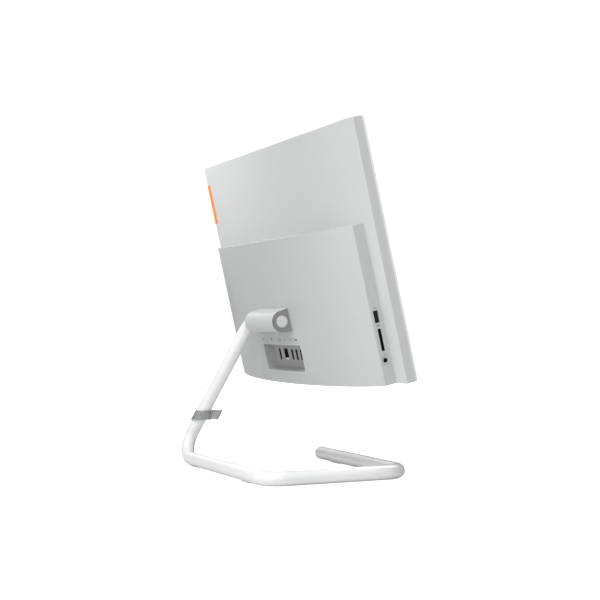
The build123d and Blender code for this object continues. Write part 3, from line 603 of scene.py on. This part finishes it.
def makeFloor():
    # pale paper that looks evenly white to the camera and still bounces soft light
    bpy.ops.object.select_all(action="DESELECT")
    bpy.ops.mesh.primitive_plane_add(size=floorSettings["size"], location=(0, 0, 0))
    floor = bpy.context.object
    floor.name = "studioFloor"
    material, tree, shader, coords = plasticFinish("floorPaper", **floorFinish)
    ray = addNode(tree, "ShaderNodeLightPath")
    feed(tree, shader.inputs["Emission Strength"],
         calculate(tree, "MULTIPLY", ray.outputs["Is Camera Ray"], floorSettings["cameraGlow"]))
    shader.inputs["Emission Color"].default_value = pureWhite
    floor.data.materials.append(material)


worldSettings = {"ambient": 0.08, "backdrop": 1.05}


def makeWorld():
    # a bright backdrop for the camera and a weak even light for everything else
    world = bpy.data.worlds.new("studio")
    scene.world = world
    world.use_nodes = True
    tree = world.node_tree
    tree.nodes.clear()
    output = tree.nodes.new("ShaderNodeOutputWorld")
    ray = tree.nodes.new("ShaderNodeLightPath")
    choose = tree.nodes.new("ShaderNodeMixShader")
    tree.links.new(ray.outputs["Is Camera Ray"], choose.inputs[0])
    for index, strength in enumerate((worldSettings["ambient"], worldSettings["backdrop"]), start=1):
        background = tree.nodes.new("ShaderNodeBackground")
        background.inputs["Color"].default_value = pureWhite
        background.inputs["Strength"].default_value = strength
        tree.links.new(background.outputs[0], choose.inputs[index])
    tree.links.new(choose.outputs[0], output.inputs[0])


# name, place, what it points at, width, height, power, spread in degrees
lightSettings = [
    ("topBack", (-0.3, 1.3, 2.2), (0, 0, 0.25), 1.6, 1.2, 48.0, 180),
    ("backSide", (-1.2, 1.4, 0.5), (0, 0, 0.25), 1.0, 1.0, 9.0, 180),
    ("besideCamera", (-1.9, 0.5, 0.7), (0, 0, 0.25), 1.0, 1.0, 6.6, 180),
    ("frontSide", (-1.6, -0.9, 0.8), (0, 0, 0.25), 1.0, 1.0, 3.4, 180),
    ("farCorner", (0.75, 0.75, 0.85), (0.30, 0.02, 0.56), 0.4, 0.4, 0.45, 24),
    ("stripBox", (0.1, 1.0, 0.25), (-0.25, 0.02, 0.2), 0.2, 0.6, 0.085, 22),
    ("frontBox", (0.9, -1.5, 2.3), (0, 0, 0.25), 1.6, 1.6, 34.0, 180),
    ("farFill", (2.1, -0.1, 0.9), (0, 0, 0.25), 1.2, 1.2, 7.0, 180),
]


def facing(direction):
    # lamps and cameras look along their own -Z, with Y up
    return direction.to_track_quat("-Z", "Y").to_euler()


def addLamp(name, place, target, width, height, power, spread):
    data = bpy.data.lights.new(name, "AREA")
    data.shape = "RECTANGLE"
    data.size = width
    data.size_y = height
    data.energy = power
    data.spread = math.radians(spread)
    lamp = bpy.data.objects.new(name, data)
    scene.collection.objects.link(lamp)
    lamp.location = place
    lamp.rotation_euler = facing(Vector(target) - Vector(place))
    lamp.visible_camera = False


cameraSettings = {"azimuth": 245.3, "elevation": -2.6, "distance": 1.5804,
                  "target": (0.0313, -0.03858, 0.26224), "lens": 70.0, "sensor": 36.0,
                  "shiftX": -0.0092, "shiftY": -0.0475, "nearest": 0.05}


def makeCamera():
    # azimuth 0 looks along +Y, at the front of the object
    data = bpy.data.cameras.new("camera")
    data.lens = cameraSettings["lens"]
    data.sensor_width = cameraSettings["sensor"]
    data.shift_x = cameraSettings["shiftX"]
    data.shift_y = cameraSettings["shiftY"]
    data.clip_start = cameraSettings["nearest"]
    camera = bpy.data.objects.new("camera", data)
    scene.collection.objects.link(camera)
    azimuth = math.radians(cameraSettings["azimuth"])
    elevation = math.radians(cameraSettings["elevation"])
    towardCamera = Vector((math.sin(azimuth) * math.cos(elevation),
                           -math.cos(azimuth) * math.cos(elevation),
                           math.sin(elevation)))
    camera.location = Vector(cameraSettings["target"]) + towardCamera * cameraSettings["distance"]
    camera.rotation_euler = facing(-towardCamera)
    scene.camera = camera


makeFloor()
makeWorld()
for lamp in lightSettings:
    addLamp(*lamp)
makeCamera()
scene.view_settings.view_transform = "Standard"
print("floor, lights and camera ready")

bpy.context.view_layer.update()
